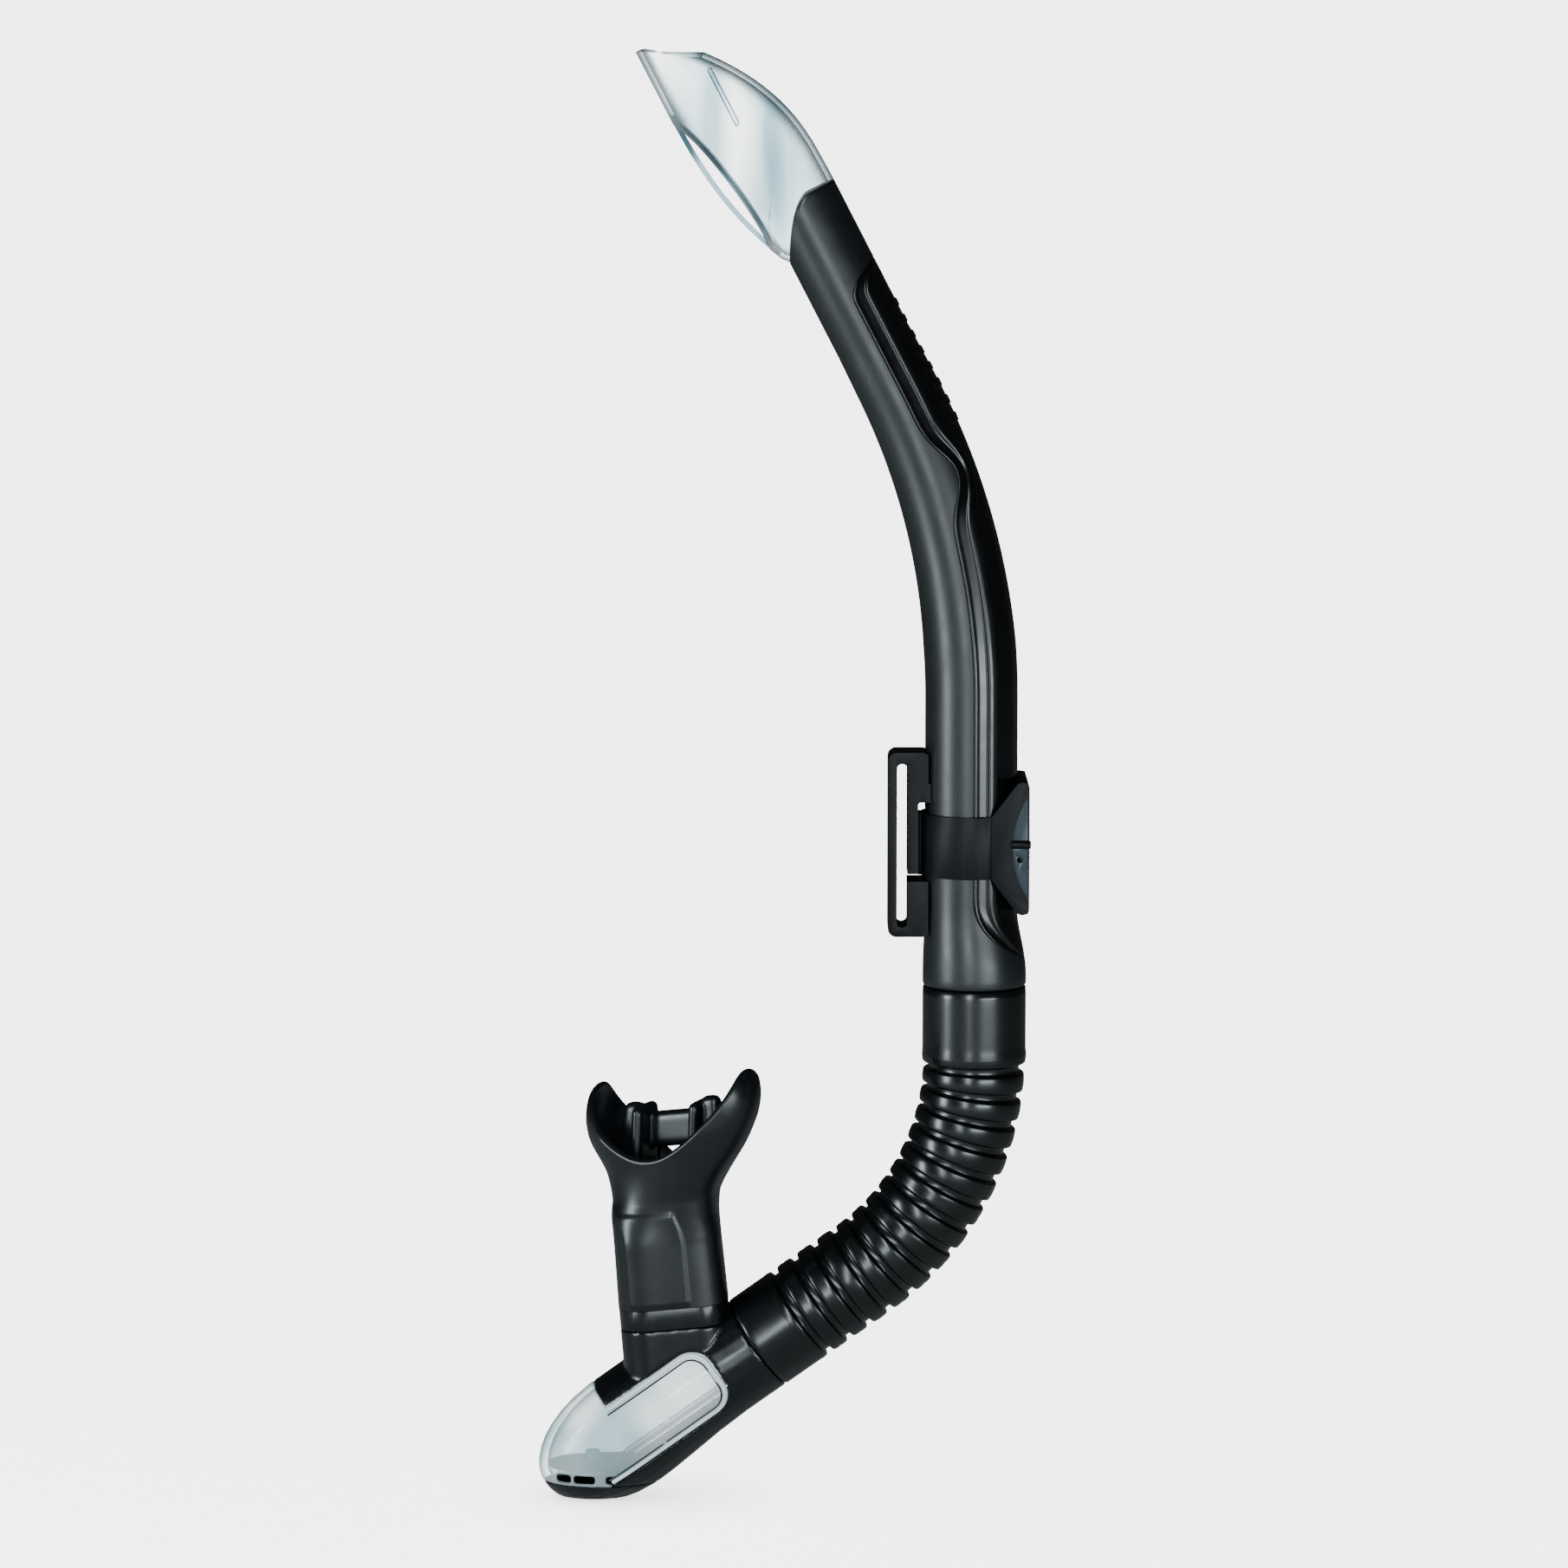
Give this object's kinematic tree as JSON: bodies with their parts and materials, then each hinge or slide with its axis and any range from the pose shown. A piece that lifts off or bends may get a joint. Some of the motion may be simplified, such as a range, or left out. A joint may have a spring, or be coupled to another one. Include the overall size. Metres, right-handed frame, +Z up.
{
  "type": "snorkel tube",
  "caption": "Semi-dry snorkel with a bent barrel, clear splash guard, strap keeper, corrugated flexible hose, purge housing and mouthpiece.",
  "frame": {"origin": "centre of the mask-strap slot in the keeper, where a mask strap holds the snorkel", "axes": "+Z up along the straight part of the barrel, -X towards the mouthpiece and the front of the guard, Y across the snorkel, the way the strap runs through its slot"},
  "size_m": [0.1425, 0.0406, 0.4195],
  "materials": {
    "barrel_satin": "satin moulded plastic, dark grey",
    "inlay_soft": "semi-gloss soft overmould, black",
    "clear_plastic": "clear polycarbonate",
    "connector_plastic": "plain moulded plastic, dark grey",
    "keeper_rubber": "matt black rubber",
    "lock_plate_plastic": "satin plastic, blue grey",
    "hose_rubber": "glossy black rubber",
    "housing_black": "matt black plastic",
    "mouth_silicone": "satin black silicone",
    "valve_silicone": "translucent grey silicone"
  },
  "bodies": {
    "snorkel_barrel": {"barrel": "barrel_satin", "back_inlay": "inlay_soft", "splash_guard": "clear_plastic", "splash_baffle": "clear_plastic", "upper_hose_connector": "connector_plastic"},
    "keeper": {"keeper_loop": "keeper_rubber", "keeper_band": "keeper_rubber", "keeper_lock_plate": "lock_plate_plastic", "keeper_pegs": "connector_plastic"},
    "hose_top": {"hose_upper_cuff": "hose_rubber"},
    "hose_link_a": {"hose_link_1": "hose_rubber"},
    "hose_link_b": {"hose_link_2": "hose_rubber"},
    "hose_link_c": {"hose_link_3": "hose_rubber"},
    "hose_link_d": {"hose_link_4": "hose_rubber"},
    "hose_link_e": {"hose_link_5": "hose_rubber"},
    "hose_bottom": {"hose_lower_cuff": "hose_rubber"},
    "mouth_unit": {"lower_hose_connector": "connector_plastic", "purge_housing": "housing_black", "reservoir_cover": "clear_plastic", "valve_plate": "housing_black", "exhaust_cap": "housing_black", "mouthpiece_band": "housing_black", "mouthpiece": "mouth_silicone", "bite_arch": "mouth_silicone"},
    "valve": {"purge_valve": "valve_silicone"}
  },
  "joints": [
    {"name": "keeper_slide", "type": "slide", "parent": "snorkel_barrel", "child": "keeper", "axis": [0, 0, 1], "range_m": [-0.004, 0.024]},
    {"name": "hose_swivel", "type": "hinge", "parent": "snorkel_barrel", "child": "hose_top", "pos_m": [0.0211, 0, -0.0413], "axis": [0, 0, 1], "range_deg": [-90, 90]},
    {"name": "hose_bend_1", "type": "hinge", "parent": "hose_top", "child": "hose_link_a", "pos_m": [0.02051, 0, -0.07219], "axis": [0, 1, 0], "range_deg": [-8, 5], "stiffness_Nm_per_rad": 0.6, "springref_deg": 2.86},
    {"name": "hose_bend_2", "type": "hinge", "parent": "hose_link_a", "child": "hose_link_b", "pos_m": [0.01748, 0, -0.08603], "axis": [0, 1, 0], "range_deg": [-8, 5], "stiffness_Nm_per_rad": 0.6, "springref_deg": 2.86},
    {"name": "hose_bend_3", "type": "hinge", "parent": "hose_link_b", "child": "hose_link_c", "pos_m": [0.01196, 0, -0.09909], "axis": [0, 1, 0], "range_deg": [-8, 5], "stiffness_Nm_per_rad": 0.6, "springref_deg": 2.86},
    {"name": "hose_bend_4", "type": "hinge", "parent": "hose_link_c", "child": "hose_link_d", "pos_m": [-0.00055, 0, -0.11623], "axis": [0, 1, 0], "range_deg": [-8, 5], "stiffness_Nm_per_rad": 0.6, "springref_deg": 2.86},
    {"name": "hose_bend_5", "type": "hinge", "parent": "hose_link_d", "child": "hose_link_e", "pos_m": [-0.01129, 0, -0.12546], "axis": [0, 1, 0], "range_deg": [-8, 5], "stiffness_Nm_per_rad": 0.6, "springref_deg": 2.86},
    {"name": "hose_bend_6", "type": "hinge", "parent": "hose_link_e", "child": "hose_bottom", "pos_m": [-0.02286, 0, -0.13369], "axis": [0, 1, 0], "range_deg": [-8, 5], "stiffness_Nm_per_rad": 0.6, "springref_deg": 2.86},
    {"name": "housing_swivel", "type": "hinge", "parent": "hose_bottom", "child": "mouth_unit", "pos_m": [-0.04121, 0, -0.14672], "axis": [-0.8151, 0, -0.5793], "range_deg": [-30, 30]},
    {"name": "purge_valve_lift", "type": "slide", "parent": "mouth_unit", "child": "valve", "axis": [0, 0, -1], "range_m": [0, 0.0015], "stiffness_N_per_m": 20}
  ],
  "couplings": [
    {"joint": "hose_bend_2", "follows": "hose_bend_1", "ratio": 1},
    {"joint": "hose_bend_3", "follows": "hose_bend_1", "ratio": 1},
    {"joint": "hose_bend_4", "follows": "hose_bend_1", "ratio": 1},
    {"joint": "hose_bend_5", "follows": "hose_bend_1", "ratio": 1},
    {"joint": "hose_bend_6", "follows": "hose_bend_1", "ratio": 1}
  ]
}
